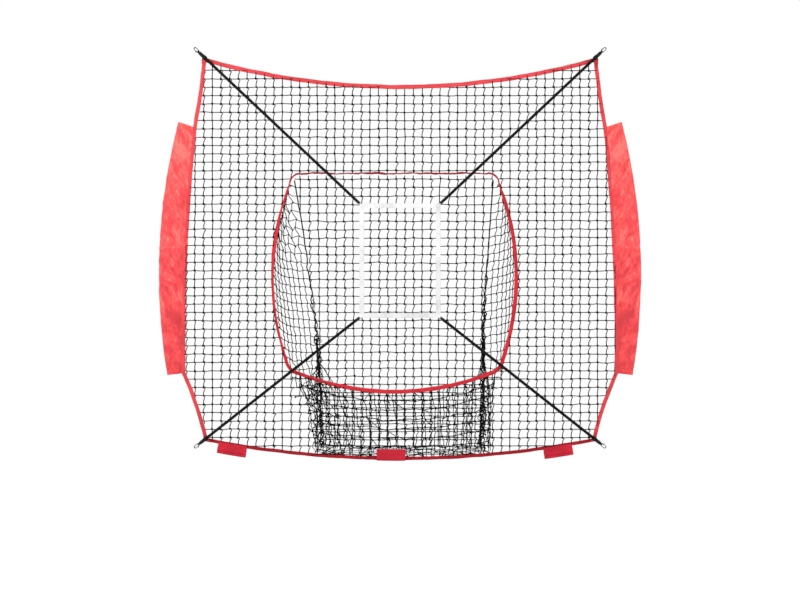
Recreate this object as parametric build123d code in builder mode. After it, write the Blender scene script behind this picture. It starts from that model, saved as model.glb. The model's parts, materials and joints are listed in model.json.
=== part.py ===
from build123d import *
import math
import os

os.makedirs("parts", exist_ok=True)

# A frameless ball practice net, in millimetres. X runs along the net, Y goes from the
# player towards the pocket, Z is up. The origin is the middle of the hem's lower edge.

# ---- driving dimensions -------------------------------------------------------------
net_top_corner = (1058, 2160)
net_bottom_corner = (1048, 102)
top_sag_z = 2011
sleeve_top_z = 1785
sleeve_bottom_z = 465
seam_top = (1110, sleeve_top_z)
seam_middle = (1155, 1200)
seam_bottom = (1170, sleeve_bottom_z)
upper_side_middle = (1083, 1940)
lower_side_middle = (1108, 310)

netting_thickness = 1.5
binding_width = 18
binding_thickness = 4

mouth_x = -30
mouth_lowest_z = 375
# Each point of the mouth's edge: half-width and height, then the way outwards from it.
mouth_top_corner = ((505, 1528, 0, 1), (539, 1514, 0.69, 0.72), (552, 1480, 0.99, 0.12))
mouth_side = ((552, 1480, 0.99, 0.12), (643, 911, 1, 0), (574, 545, 0.97, -0.24))
mouth_low_corner = ((574, 545, 0.97, -0.24), (553, 497, 0.72, -0.69), (505, 471, 0.3, -0.95))
rim_width = 16
rim_thickness = 6

pocket_front_y = 4
pocket_floor_z = 24
gusset_wall = 3
apron_front_y = 6.5
apron_gap = 2

sleeve_edge_top = (1187, 1812)
sleeve_edge_middle = (1291, 1000)
sleeve_edge_bottom = (1246, 456)
hinge_from_seam = 34
sleeve_half_depth = 7
sleeve_fabric = 2
neck_start = 1.5
neck_end = 10
web_end = 12
seam_strip_gap = 2.5
seam_strip_thickness = 2.4
neck_thickness = 2

loop_width = 157
hanging_loop = (48, 20, 7)
folded_loop = (58, 11, 4)
loop_fabric = 2
loop_neck_length = 9
loop_neck_thickness = 2.4
side_loop_drop = 1.5
folded_loop_y = -8.4
loop_places = {"left": -897, "centre": -48, "right": 845}

cord_y = -26
cord_radius = 6.5
target_half_width = 216
target_bottom_z = 763
target_top_z = 1373
band_width = 25
band_thickness = 1.5
target_front_y = -36

hook_offset = 17
hook_barrel_radius = 6.5
hook_barrel_length = 12
flange_radius = 9.5
flange_length = 3
hook_thickness = 7
frame_start = 9
frame_end = 42
frame_half_width = 8.5
frame_rounding = 7.5
eye_start = 15.5
eye_end = 38.5
eye_half_width = 5
eye_rounding = 4.5
gate_pivot = (20, 6.75)
gate_hub_radius = 2.6
gate_thickness = 4
gate_slot = 4.6
gate_bar_half_width = 1.7
gate_tip = 36.2
gate_end_gap = 0.4
nose_flat = 9
gate_pin_radius = 1
gate_pin_gap = 0.06
post_radius = 2.5
post_hole_radius = 2.56
post_head_radius = 4.2
post_chamber_radius = 4.6
chamber_start = 5
chamber_end = 9.4
post_head_start = 5.6
post_head_end = 8.6
clip_radius = 9.5
clip_start = -25
clip_end = -3
clip_cup_end = -11
clip_bore_radius = 6.56

keeper_start = -23
keeper_length = 13
keeper_half_width = 11.5
keeper_front_y = -37
keeper_fabric = 2.4
strap_width = 13
strap_fabric = 1.5
strap_tail = 18


# ---- helpers ------------------------------------------------------------------------
def save(builder, label):
    """Labels a finished piece and writes it as its own STEP."""
    builder.part.label = label
    export_step(builder.part, f"parts/{label}.step")
    return builder.part


def front_plane(y):
    """An upright plane at this Y: its local axes are X and Z, and it extrudes towards -Y."""
    return Plane.XZ.offset(-y)


def towards(a, b, distance):
    """The point this far from a on the way to b."""
    share = distance / math.hypot(b[0] - a[0], b[1] - a[1])
    return (a[0] + share * (b[0] - a[0]), a[1] + share * (b[1] - a[1]))


def mirrored(point, side):
    return (side * point[0], point[1])


def draw_net_outline():
    """The net's whole outline: a sagging top, bowed sides and a sagging hem."""
    for side in (1, -1):
        ThreePointArc(*[mirrored(p, side) for p in (net_top_corner, upper_side_middle, seam_top)])
        ThreePointArc(*[mirrored(p, side) for p in (seam_top, seam_middle, seam_bottom)])
        ThreePointArc(*[mirrored(p, side) for p in (seam_bottom, lower_side_middle, net_bottom_corner)])
    ThreePointArc(mirrored(net_top_corner, -1), (0, top_sag_z), net_top_corner)
    ThreePointArc(mirrored(net_bottom_corner, -1), (0, 0), net_bottom_corner)


def mouth_points(points, side, grow):
    """Points of one half of the mouth, each moved outwards by grow along its own direction."""
    return [(mouth_x + side * (x + grow * nx), z + grow * nz) for x, z, nx, nz in points]


def mouth_sketch(grow):
    """The mouth's face, wider at its middle, with rounded corners, grown outwards by this much."""
    with BuildSketch(Plane.XY) as sketch:
        with BuildLine():
            for side in (1, -1):
                for arc in (mouth_top_corner, mouth_side, mouth_low_corner):
                    ThreePointArc(*mouth_points(arc, side, grow))
            Line(*[mouth_points(mouth_top_corner, side, grow)[0] for side in (-1, 1)])
            ends = [mouth_points(mouth_low_corner, side, grow)[-1] for side in (-1, 1)]
            ThreePointArc(ends[0], (mouth_x, mouth_lowest_z - grow), ends[1])
        make_face()
    return sketch.sketch


def net_sketch(shrink):
    """The net's face, shrunk inwards by this much."""
    with BuildSketch(Plane.XY) as sketch:
        with BuildLine():
            draw_net_outline()
        make_face()
        if shrink:
            offset(amount=-shrink, kind=Kind.INTERSECTION, mode=Mode.REPLACE)
    return sketch.sketch


def strip_piece(outer, inner, corners, thickness, label):
    """One run of a flat ring of tape: the ring inside a polygon, with its thickness centred on Y = 0."""
    with BuildPart() as piece:
        with BuildSketch(front_plane(0)):
            add(outer)
            add(inner, mode=Mode.SUBTRACT)
            with BuildLine():
                Polyline(*corners, close=True)
            make_face(mode=Mode.INTERSECT)
        extrude(amount=thickness / 2, both=True)
    return save(piece, label)


def wedges(middle, corners, reach):
    """The four triangles from a middle through neighbouring corners, reaching past them."""
    far = [(middle[0] + reach * (x - middle[0]), middle[1] + reach * (z - middle[1])) for x, z in corners]
    return [[middle, far[i], far[(i + 1) % 4]] for i in range(4)]


def level_loft(levels, label):
    """A thin wall through quadrilaterals, one for each level: [(z, [(x, y), ...]), ...]."""
    with BuildPart() as wall:
        for z, points in levels:
            with BuildSketch(Plane.XY.offset(z)):
                with BuildLine():
                    Polyline(*points, close=True)
                make_face()
        loft(ruled=True)
    return save(wall, label)


# ---- net panel and its bindings -----------------------------------------------------
net_face = net_sketch(0)
net_inner_face = net_sketch(binding_width)
mouth_face = mouth_sketch(0)
mouth_outer_face = mouth_sketch(rim_width)

with BuildPart() as main_net:
    with BuildSketch(front_plane(0)):
        add(net_inner_face)
        add(mouth_outer_face, mode=Mode.SUBTRACT)
    extrude(amount=netting_thickness / 2, both=True)
save(main_net, "main_net")

net_corners = [
    mirrored(net_top_corner, -1),
    net_top_corner,
    net_bottom_corner,
    mirrored(net_bottom_corner, -1),
]
binding_names = ("top_binding", "right_binding", "bottom_hem", "left_binding")
for name, wedge in zip(binding_names, wedges((0, 1100), net_corners, 1.6)):
    strip_piece(net_face, net_inner_face, wedge, binding_thickness, name)

mouth_corners = [
    (mouth_x + side * points[1][0], points[1][1])
    for side, points in (
        (-1, mouth_top_corner),
        (1, mouth_top_corner),
        (1, mouth_low_corner),
        (-1, mouth_low_corner),
    )
]
rim_names = ("rim_top", "rim_right", "rim_bottom", "rim_left")
for name, wedge in zip(rim_names, wedges((mouth_x, 950), mouth_corners, 1.6)):
    strip_piece(mouth_outer_face, mouth_face, wedge, rim_thickness, name)

# ---- pocket -------------------------------------------------------------------------
# Each level: height, left and right X of the front, left and right X of the back, its Y.
pocket_levels = [
    (1500, -576, 516, -556, 497, 12),
    (1220, -655, 595, -522, 484, 62),
    (911, -673, 613, -487, 468, 119),
    (650, -634, 574, -460, 463, 167),
    (470, -584, 545, -450, 464, 200),
    (320, -541, 489, -450, 464, 228),
    (247, -466, 488, -450, 464, 242),
    (pocket_floor_z + 3, -456, 488, -440, 455, 282),
]
half_net = netting_thickness / 2

level_loft(
    [
        (z, [(left, y - half_net), (right, y - half_net), (right, y + half_net), (left, y + half_net)])
        for z, _, _, left, right, y in pocket_levels
    ],
    "pocket_back",
)


def gusset_level(side, level):
    """A gusset's slanting section, from the rim's side back to the back panel's seam."""
    z, front_left, front_right, left, right, y = level
    seam = (right if side > 0 else left) + side * 0.5
    front = front_right if side > 0 else front_left
    wall = side * gusset_wall
    return (z, [(front, pocket_front_y), (seam, y), (seam + wall, y), (front + wall, pocket_front_y)])


for side, name in ((-1, "pocket_left_gusset"), (1, "pocket_right_gusset")):
    level_loft([gusset_level(side, level) for level in pocket_levels], name)

with BuildPart() as pocket_floor:
    _, front_left, front_right, floor_left, floor_right, floor_y = pocket_levels[-1]
    with BuildSketch(Plane.XY.offset(pocket_floor_z)):
        with BuildLine():
            Polyline(
                (front_left, pocket_front_y),
                (front_right, pocket_front_y),
                (floor_right, floor_y),
                (floor_left, floor_y),
                close=True,
            )
        make_face()
    extrude(amount=netting_thickness)
save(pocket_floor, "pocket_floor")

# The pocket's low front: a second sheet of netting behind the panel, from the rim to the floor.
apron_corners = [
    (-575, 455),
    (-537, 320),
    (-462, 247),
    (-452, pocket_floor_z + 6),
    (484, pocket_floor_z + 6),
    (484, 247),
    (485, 320),
    (535, 455),
]
with BuildPart() as pocket_apron:
    with BuildSketch(front_plane(apron_front_y + netting_thickness)):
        with BuildLine():
            Polyline(*apron_corners, close=True)
        make_face()
        add(mouth_sketch(rim_width + apron_gap), mode=Mode.SUBTRACT)
    extrude(amount=netting_thickness)
save(pocket_apron, "pocket_apron")

# ---- pole sleeves -------------------------------------------------------------------
hinge_top = towards(seam_top, sleeve_edge_top, hinge_from_seam)
hinge_bottom = towards(seam_bottom, sleeve_edge_bottom, hinge_from_seam)


def sleeve_line(distance):
    """The top and bottom points of a line this far outside the sleeve's hinge line."""
    top = towards(seam_top, sleeve_edge_top, hinge_from_seam + distance)
    bottom = towards(seam_bottom, sleeve_edge_bottom, hinge_from_seam + distance)
    return top, bottom


def sleeve_edge(inset):
    """Three points of the sleeve's bowed outer edge, moved in by this much."""
    return [(x - inset, z) for x, z in (sleeve_edge_top, sleeve_edge_middle, sleeve_edge_bottom)]


def sleeve_piece(side, inner, outer, y_low, y_high):
    """A sleeve strip between two lists of points, straight for two points, an arc for three."""
    inner = [mirrored(p, side) for p in inner]
    outer = [mirrored(p, side) for p in outer]
    with BuildPart() as piece:
        with BuildSketch(front_plane(y_high)):
            with BuildLine():
                for points in (inner, outer):
                    if len(points) == 3:
                        ThreePointArc(*points)
                    else:
                        Line(*points)
                Line(inner[0], outer[0])
                Line(inner[-1], outer[-1])
            make_face()
        extrude(amount=y_high - y_low)
    return piece


for side, name in ((-1, "left"), (1, "right")):
    seam_curve = (seam_top, seam_middle, seam_bottom)
    half_seam = seam_strip_thickness / 2
    half_neck = neck_thickness / 2
    inside = sleeve_half_depth - sleeve_fabric
    panel_edges = (sleeve_line(web_end), sleeve_edge(sleeve_fabric))
    strip = sleeve_piece(side, seam_curve, sleeve_line(-seam_strip_gap), -half_seam, half_seam)
    save(strip, f"{name}_sleeve_seam")
    neck = sleeve_piece(side, sleeve_line(neck_start), sleeve_line(neck_end), -half_neck, half_neck)
    web = sleeve_piece(
        side, sleeve_line(neck_end), sleeve_line(web_end), -sleeve_half_depth, sleeve_half_depth
    )
    with BuildPart() as sleeve_neck:
        add(neck.part)
        add(web.part)
    save(sleeve_neck, f"{name}_sleeve_neck")
    save(sleeve_piece(side, *panel_edges, -sleeve_half_depth, -inside), f"{name}_sleeve_front")
    save(sleeve_piece(side, *panel_edges, inside, sleeve_half_depth), f"{name}_sleeve_rear")
    fold_edges = (sleeve_edge(sleeve_fabric), sleeve_edge(0))
    save(sleeve_piece(side, *fold_edges, -sleeve_half_depth, sleeve_half_depth), f"{name}_sleeve_fold")

# ---- base loops ---------------------------------------------------------------------
hem_radius = (net_bottom_corner[0] ** 2 + net_bottom_corner[1] ** 2) / (2 * net_bottom_corner[1])


def hem_z(x):
    return hem_radius - math.sqrt(hem_radius**2 - x**2)


def base_loop(name, x, hinge_y, drop, direction, size):
    """A loop of tape on a sewn neck, hanging (-1) or folded up (1) from its hinge line.
    size is its length down from the hinge, its depth and its rounding."""
    length, depth, rounding = size
    slope = math.asin(x / hem_radius)
    along = Vector(math.cos(slope), 0, math.sin(slope))
    hinge = Vector(x, hinge_y, hem_z(x) - drop)
    start = hinge - along * (loop_width / 2)
    body_height = length - loop_neck_length
    body_middle = direction * (loop_neck_length + body_height / 2)
    neck_middle = direction * (1 + (loop_neck_length + 1) / 2)
    with BuildPart() as loop:
        with BuildSketch(Plane(origin=start, x_dir=(0, 1, 0), z_dir=along)):
            with Locations((0, body_middle)):
                RectangleRounded(depth, body_height, rounding)
            with Locations((0, neck_middle)):
                Rectangle(loop_neck_thickness, loop_neck_length + 1)
            with Locations((0, body_middle)):
                RectangleRounded(
                    depth - 2 * loop_fabric,
                    body_height - 2 * loop_fabric,
                    rounding - loop_fabric,
                    mode=Mode.SUBTRACT,
                )
        extrude(amount=loop_width)
    return save(loop, f"base_loop_{name}")


base_loop("left", loop_places["left"], 0, side_loop_drop, -1, hanging_loop)
base_loop("centre", loop_places["centre"], folded_loop_y, 0, 1, folded_loop)
base_loop("right", loop_places["right"], 0, side_loop_drop, -1, hanging_loop)

# ---- strike-zone target -------------------------------------------------------------
target_height = target_top_z - target_bottom_z
target_middle_z = (target_top_z + target_bottom_z) / 2
band_offset = band_width / 2

band_heights = {"target_top": target_top_z - band_offset, "target_bottom": target_bottom_z + band_offset}
for name, z in band_heights.items():
    with BuildPart() as band:
        with BuildSketch(front_plane(target_front_y + band_thickness)):
            with Locations((0, z)):
                Rectangle(2 * target_half_width, band_width)
        extrude(amount=band_thickness)
    save(band, name)

for name, side in (("target_left", -1), ("target_right", 1)):
    with BuildPart() as band:
        with BuildSketch(front_plane(target_front_y + 2 * band_thickness)):
            with Locations((side * (target_half_width - band_offset), target_middle_z)):
                Rectangle(band_width, target_height)
        extrude(amount=band_thickness)
    save(band, name)

# ---- corner hardware ----------------------------------------------------------------
# A cord starts behind a corner of the target and runs over the net's corner to its hook.
# Lengths s are along it, from the start of the hook's barrel, and v is square to it in the
# upright plane of the cords.
cord_inner_x = 208
cord_inner_top_z = 1366
cord_inner_bottom_z = 770
cord_end_gap = 0.6
top_patch = ((1019.5, 2149.5), (1062.6, 2120))
bottom_patch = ((1008.7, 94.3), (1056, 141))

# Each corner: its side, the cord's inner height, a point the cord aims at, the net's
# corner, and the other two corners of the patch sewn over the binding there.
corners = {
    "top_left": (-1, cord_inner_top_z, (1099, 2204), net_top_corner, *top_patch),
    "top_right": (1, cord_inner_top_z, (1099, 2204), net_top_corner, *top_patch),
    "bottom_left": (-1, cord_inner_bottom_z, (1095, 72), net_bottom_corner, *bottom_patch),
    "bottom_right": (1, cord_inner_bottom_z, (1095, 72), net_bottom_corner, *bottom_patch),
}


class Corner:
    """The line of one corner's cord, and planes that follow it."""

    def __init__(self, side, inner_z, tip, net_corner):
        inner = Vector(side * cord_inner_x, cord_y, inner_z)
        self.u = (Vector(side * tip[0], cord_y, tip[1]) - inner).normalized()
        to_corner = Vector(side * net_corner[0], cord_y, net_corner[1]) - inner
        self.length = to_corner.dot(self.u) + hook_offset
        self.zero = inner + self.u * self.length

    def across(self, s):
        """A plane square to the cord at s: its local axes are v (across) and Y."""
        return Plane(origin=self.zero + self.u * s, x_dir=self.v(), z_dir=self.u)

    def v(self):
        return Vector(-self.u.Z, 0, self.u.X)

    def flat(self, y):
        """The upright plane at this Y with local axes s and v, which extrudes towards -Y."""
        origin = Vector(self.zero.X, y, self.zero.Z)
        return Plane(origin=origin, x_dir=self.u, z_dir=(0, -1, 0))

    def side_on(self, v):
        """A plane along the cord at this v: its local axes are s and Y."""
        return Plane(origin=self.zero + self.v() * v, x_dir=self.u, z_dir=self.v() * -1)


def rod(corner, start, end, radius, mode=Mode.ADD):
    with BuildSketch(corner.across(start)) as section:
        Circle(radius)
    extrude(section.sketch, amount=end - start, mode=mode)


def make_hook(corner, name):
    """A swivel snap's body: a barrel with a chamber, and an open nose whose gap the gate closes."""
    with BuildPart() as hook:
        with BuildSketch(corner.flat(cord_y)):
            with Locations(((frame_start + frame_end) / 2, 0)):
                RectangleRounded(frame_end - frame_start, 2 * frame_half_width, frame_rounding)
            with Locations(((eye_start + eye_end) / 2, 0)):
                RectangleRounded(
                    eye_end - eye_start, 2 * eye_half_width, eye_rounding, mode=Mode.SUBTRACT
                )
        extrude(amount=hook_thickness / 2, both=True)
        flats = hook.faces().sort_by(Axis.Y)
        fillet(flats[0].edges() + flats[-1].edges(), 1)
        rod(corner, 0, hook_barrel_length, hook_barrel_radius)
        rod(corner, 0, flange_length, flange_radius)
        # The gate's gap in the side of the nose, and the slot between the hinge's cheeks.
        gap_start = gate_pivot[0] + 4
        gap_end = gate_tip + gate_end_gap
        with BuildSketch(corner.flat(cord_y)):
            with Locations(((gap_start + gap_end) / 2, frame_half_width)):
                Rectangle(gap_end - gap_start, 2 * (frame_half_width - eye_half_width) + 1)
            # The flat the gate's tip swings past, in the eye's rounded corner.
            with Locations((gap_end - nose_flat / 2, eye_half_width - 2)):
                Rectangle(nose_flat, 5)
        extrude(amount=hook_thickness, both=True, mode=Mode.SUBTRACT)
        with BuildSketch(corner.flat(cord_y)):
            with Locations((gate_pivot[0] + 2, frame_half_width)):
                Rectangle(12, 2 * (frame_half_width - eye_half_width) + 1)
        extrude(amount=gate_slot / 2, both=True, mode=Mode.SUBTRACT)
        with BuildSketch(corner.flat(cord_y)):
            with Locations(gate_pivot):
                Circle(gate_pin_radius)
        extrude(amount=hook_thickness, both=True, mode=Mode.SUBTRACT)
        rod(corner, -1, chamber_start + 1, post_hole_radius, Mode.SUBTRACT)
        rod(corner, chamber_start, chamber_end, post_chamber_radius, Mode.SUBTRACT)
    save(hook, f"hook_{name}")


def make_gate(corner, name):
    """The sprung gate: a hub on the pin, a bar to the nose and a thumb tab outside."""
    with BuildPart() as gate:
        with BuildSketch(corner.flat(cord_y)):
            with Locations(gate_pivot):
                Circle(gate_hub_radius)
            with Locations(((gate_pivot[0] + gate_tip) / 2, gate_pivot[1])):
                Rectangle(gate_tip - gate_pivot[0], 2 * gate_bar_half_width)
            with Locations((gate_pivot[0] + 1, gate_pivot[1] + 3.5)):
                RectangleRounded(4, 6, 1.4)
            with Locations(gate_pivot):
                Circle(gate_pin_radius + gate_pin_gap, mode=Mode.SUBTRACT)
        extrude(amount=gate_thickness / 2, both=True)
    save(gate, f"gate_{name}")


def make_post(corner, name):
    """The swivel post: a shank through the hook's barrel, with its head in the chamber."""
    with BuildPart() as post:
        rod(corner, clip_cup_end + 1, post_head_start + 0.4, post_radius)
        rod(corner, post_head_start, post_head_end, post_head_radius)
    save(post, f"swivel_post_{name}")


def make_clip(corner, name):
    """The cord clip: a crimped cup on the cord's end, fixed to the swivel post."""
    with BuildPart() as clip:
        rod(corner, clip_start, clip_end, clip_radius)
        rims = clip.edges().filter_by(GeomType.CIRCLE)
        chamfer(rims, 1.6)
        for groove in (-21, -14):
            with BuildSketch(corner.across(groove)):
                Circle(clip_radius + 1)
                Circle(clip_radius - 0.9, mode=Mode.SUBTRACT)
            extrude(amount=2.4, mode=Mode.SUBTRACT)
        rod(corner, clip_start - 1, clip_cup_end, clip_bore_radius, Mode.SUBTRACT)
        rod(corner, clip_cup_end, clip_end + 1, post_radius, Mode.SUBTRACT)
    save(clip, f"cord_clip_{name}")


def make_cord(corner, name):
    """A taut elastic cord, straight from behind the target's corner into its clip."""
    with BuildPart() as cord:
        rod(corner, -corner.length, clip_cup_end - cord_end_gap, cord_radius)
    save(cord, f"bungee_{name}")


made = {}
for name, (side, inner_z, tip, net_corner, _, _) in corners.items():
    corner = Corner(side, inner_z, tip, net_corner)
    made[name] = corner
    make_hook(corner, name)
    make_gate(corner, name)
    make_post(corner, name)
    make_clip(corner, name)
    make_cord(corner, name)

with BuildPart() as gate_pins:
    for corner in made.values():
        with BuildSketch(corner.flat(cord_y)):
            with Locations(gate_pivot):
                Circle(gate_pin_radius)
        extrude(amount=hook_thickness / 2, both=True)
save(gate_pins, "gate_pins")

patch_front_y = -binding_thickness / 2 - strap_fabric

with BuildPart() as corner_patches:
    for side, _, _, net_corner, first, second in corners.values():
        with BuildSketch(front_plane(-binding_thickness / 2)):
            with BuildLine():
                Polyline(*[mirrored(p, side) for p in (net_corner, first, second)], close=True)
            make_face()
        extrude(amount=strap_fabric)
save(corner_patches, "corner_patches")

with BuildPart() as corner_straps:
    # Each strap is a keeper loop round the cord, with a tail sewn flat to the patch.
    depth = patch_front_y - keeper_front_y
    middle_y = cord_y - (patch_front_y + keeper_front_y) / 2
    for corner in made.values():
        with BuildSketch(corner.across(keeper_start - hook_offset)):
            with Locations((0, middle_y)):
                RectangleRounded(2 * keeper_half_width, depth, 8)
                RectangleRounded(
                    2 * (keeper_half_width - keeper_fabric), depth - 2 * keeper_fabric, 6, mode=Mode.SUBTRACT
                )
        extrude(amount=keeper_length)
        tail_end = keeper_start - hook_offset
        with BuildSketch(corner.flat(patch_front_y)):
            with Locations((tail_end - (strap_tail / 2 - 1), 0)):
                Rectangle(strap_tail, strap_width)
        extrude(amount=strap_fabric)
save(corner_straps, "corner_straps")
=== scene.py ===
import json
import math

import bmesh
import bpy
import numpy as np
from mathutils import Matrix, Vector


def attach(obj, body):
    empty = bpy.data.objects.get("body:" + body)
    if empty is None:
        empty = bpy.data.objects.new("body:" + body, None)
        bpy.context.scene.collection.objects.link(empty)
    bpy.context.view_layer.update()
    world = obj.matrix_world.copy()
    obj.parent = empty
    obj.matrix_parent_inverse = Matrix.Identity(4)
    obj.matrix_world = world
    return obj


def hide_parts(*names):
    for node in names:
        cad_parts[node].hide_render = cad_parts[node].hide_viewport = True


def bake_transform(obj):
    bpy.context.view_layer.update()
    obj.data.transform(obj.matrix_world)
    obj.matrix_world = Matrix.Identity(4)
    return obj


# A frameless ball practice net, in metres. X runs along the net, Y goes from the player
# towards the pocket, Z is up, and the origin is the middle of the hem's lower edge.

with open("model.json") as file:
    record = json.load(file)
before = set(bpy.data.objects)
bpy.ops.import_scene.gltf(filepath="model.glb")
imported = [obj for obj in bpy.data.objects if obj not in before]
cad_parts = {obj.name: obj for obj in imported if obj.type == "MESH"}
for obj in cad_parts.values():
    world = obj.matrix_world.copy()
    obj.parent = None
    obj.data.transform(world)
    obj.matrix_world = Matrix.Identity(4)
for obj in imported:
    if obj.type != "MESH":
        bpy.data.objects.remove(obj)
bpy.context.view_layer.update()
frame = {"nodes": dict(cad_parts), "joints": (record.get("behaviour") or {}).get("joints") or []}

# ---- sizes of the net, as in the frame ----------------------------------------------
NET_TOP_CORNER = (1.058, 2.160)
NET_BOTTOM_CORNER = (1.048, 0.102)
TOP_SAG_Z = 2.011
SEAM_TOP = (1.110, 1.785)
SEAM_MIDDLE = (1.155, 1.200)
SEAM_BOTTOM = (1.170, 0.465)
UPPER_SIDE_MIDDLE = (1.083, 1.940)
LOWER_SIDE_MIDDLE = (1.108, 0.310)
SLEEVE_TOP = (1.187, 1.812)
SLEEVE_MIDDLE = (1.291, 1.000)
SLEEVE_BOTTOM = (1.246, 0.456)
SLEEVE_LENGTH = 1.36
SLEEVE_CREASED_WIDTH = 0.14
SLEEVE_CLOTH = 0.0007
BINDING_WIDTH = 0.018
TAPE_THICKNESS = 0.0042
RIM_WIDTH = 0.023
SIDES = {-1: "left", 1: "right"}

MOUTH_X = -0.030
MOUTH_LOWEST_Z = 0.375
MOUTH_TOP_CORNER = ((0.505, 1.528), (0.539, 1.514), (0.552, 1.480))
MOUTH_SIDE = ((0.552, 1.480), (0.643, 0.911), (0.574, 0.545))
MOUTH_LOW_CORNER = ((0.574, 0.545), (0.553, 0.497), (0.505, 0.471))

CELL_X = 0.0469
CELL_Z = 0.0447
FIRST_COLUMN = -1.053
FIRST_ROW = 2.088
TWINE = 0.0028
KNOT = 0.0060

# The pocket at a few heights: height, left and right X of the front, of the back, the depth.
POCKET_LEVELS = (
    (1.500, -0.576, 0.516, -0.567, 0.500, 0.012),
    (1.220, -0.655, 0.595, -0.522, 0.484, 0.062),
    (0.911, -0.673, 0.613, -0.487, 0.468, 0.119),
    (0.650, -0.634, 0.574, -0.460, 0.463, 0.167),
    (0.470, -0.584, 0.545, -0.450, 0.464, 0.200),
    (0.320, -0.541, 0.489, -0.450, 0.464, 0.228),
    (0.247, -0.466, 0.488, -0.450, 0.464, 0.242),
    (0.027, -0.456, 0.488, -0.440, 0.455, 0.282),
)
POCKET_FLOOR_Z = 0.026
GUSSET_COLUMN = 0.0215

LOOP_LENGTH = 0.155
LOOP_CLOTH = 0.0012
# How far behind its hinge the folded loop's cross-section is drawn.
FOLDED_LOOP_BACK = 0.0078

CORD_Y = -0.026
CORD_RADIUS = 0.0077
CORD_END_RADIUS = 0.0065
CORD_INNER_X = 0.208
CORD_PAST_CORNER = 0.0054
TARGET_HALF_WIDTH = 0.216
TARGET_LOW_Z = 0.763
TARGET_HIGH_Z = 1.373
BAND_WIDTH = 0.025
BAND_THICKNESS = 0.0015
TARGET_Y = -0.0345
LAP_STEP = 0.0008

# Rows of stitches: a stitch's length, the gap to the next, and the thread's radius.
TAPE_STITCH = (0.0034, 0.0016, 0.0004)
SEAM_STITCH = (0.0038, 0.0028, 0.00055)
SLEEVE_END_STITCH = (0.0036, 0.0022, 0.00045)
LOOP_STITCH = (0.0036, 0.0018, 0.00045)
TARGET_STITCH = (0.0024, 0.0009, 0.0004)

CAMERA_DISTANCE = 6.0
CAMERA_HEIGHT = 0.858
CAMERA_LENS = 50.4


# ---- camera, light and stage --------------------------------------------------------
def make_camera():
    data = bpy.data.cameras.new("camera")
    data.lens = CAMERA_LENS
    data.sensor_width = 36
    camera = bpy.data.objects.new("camera", data)
    camera.location = (0, -CAMERA_DISTANCE, CAMERA_HEIGHT)
    camera.rotation_euler = (math.radians(90), 0, 0)
    bpy.context.scene.collection.objects.link(camera)
    bpy.context.scene.camera = camera


def make_area_light(name, place, target, size, power):
    data = bpy.data.lights.new(name, "AREA")
    data.shape = "RECTANGLE"
    data.size = size[0]
    data.size_y = size[1]
    data.energy = power
    light = bpy.data.objects.new(name, data)
    light.location = place
    light.rotation_euler = (Vector(target) - Vector(place)).to_track_quat("-Z", "Y").to_euler()
    bpy.context.scene.collection.objects.link(light)


def make_studio():
    scene = bpy.context.scene
    scene.view_settings.view_transform = "Standard"
    world = bpy.data.worlds.new("studio")
    world.use_nodes = True
    world.node_tree.nodes["Background"].inputs[0].default_value = (1, 1, 1, 1)
    world.node_tree.nodes["Background"].inputs[1].default_value = 1.0
    scene.world = world
    make_area_light("key", (-4.2, -4.4, 4.2), (0, 0, 1.1), (1.4, 1.4), 440)
    make_area_light("fill", (4.0, -4.6, 1.4), (0, 0, 1.0), (2.0, 2.0), 150)
    make_area_light("back", (0.5, 4.5, 3.6), (0, 0, 1.2), (3.0, 2.0), 90)
    floor_data = bpy.data.meshes.new("floor")
    reach, back, low = 7.0, 0.62, -0.16
    floor_data.from_pydata(
        [(-reach, -reach, low), (reach, -reach, low), (reach, back, low), (-reach, back, low)],
        [],
        [(0, 1, 2, 3)],
    )
    floor = bpy.data.objects.new("floor", floor_data)
    scene.collection.objects.link(floor)
    paper = bpy.data.materials.new("paper")
    paper.use_nodes = True
    shader = paper.node_tree.nodes["Principled BSDF"]
    shader.inputs["Base Color"].default_value = (0.6, 0.6, 0.6, 1)
    shader.inputs["Roughness"].default_value = 0.9
    shader.inputs["Specular IOR Level"].default_value = 0.1
    shader.inputs["Emission Color"].default_value = (1, 1, 1, 1)
    shader.inputs["Emission Strength"].default_value = 0.55
    floor.data.materials.append(paper)


# ---- curves in the plane of the net -------------------------------------------------
def arc(p, q, r, count=24):
    """Points along the circle from p through q to r, in the plane."""
    ax, az = q[0] - p[0], q[1] - p[1]
    bx, bz = r[0] - p[0], r[1] - p[1]
    cross = 2 * (ax * bz - az * bx)
    a2, b2 = ax * ax + az * az, bx * bx + bz * bz
    cx = p[0] + (bz * a2 - az * b2) / cross
    cz = p[1] + (ax * b2 - bx * a2) / cross
    radius = math.hypot(p[0] - cx, p[1] - cz)
    start = math.atan2(p[1] - cz, p[0] - cx)
    turn = math.atan2(r[1] - cz, r[0] - cx) - start
    turn = (turn + math.pi) % (2 * math.pi) - math.pi
    angles = start + np.linspace(0, 1, count) * turn
    return np.stack([cx + radius * np.cos(angles), cz + radius * np.sin(angles)], axis=1)


def join(*runs):
    """Runs of points end to end, without the doubled points."""
    whole = [np.asarray(runs[0], float)]
    whole += [np.asarray(run, float)[1:] for run in runs[1:]]
    return np.concatenate(whole)


def mirror(points, side):
    return np.asarray(points, float) * (side, 1)


def side_edge(side):
    """One side of the net, from its top corner down to its bottom corner."""
    return mirror(
        join(
            arc(NET_TOP_CORNER, UPPER_SIDE_MIDDLE, SEAM_TOP, 14),
            arc(SEAM_TOP, SEAM_MIDDLE, SEAM_BOTTOM, 40),
            arc(SEAM_BOTTOM, LOWER_SIDE_MIDDLE, NET_BOTTOM_CORNER, 14),
        ),
        side,
    )


def top_edge():
    return arc(mirror(NET_TOP_CORNER, -1), (0, TOP_SAG_Z), NET_TOP_CORNER, 60)


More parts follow.
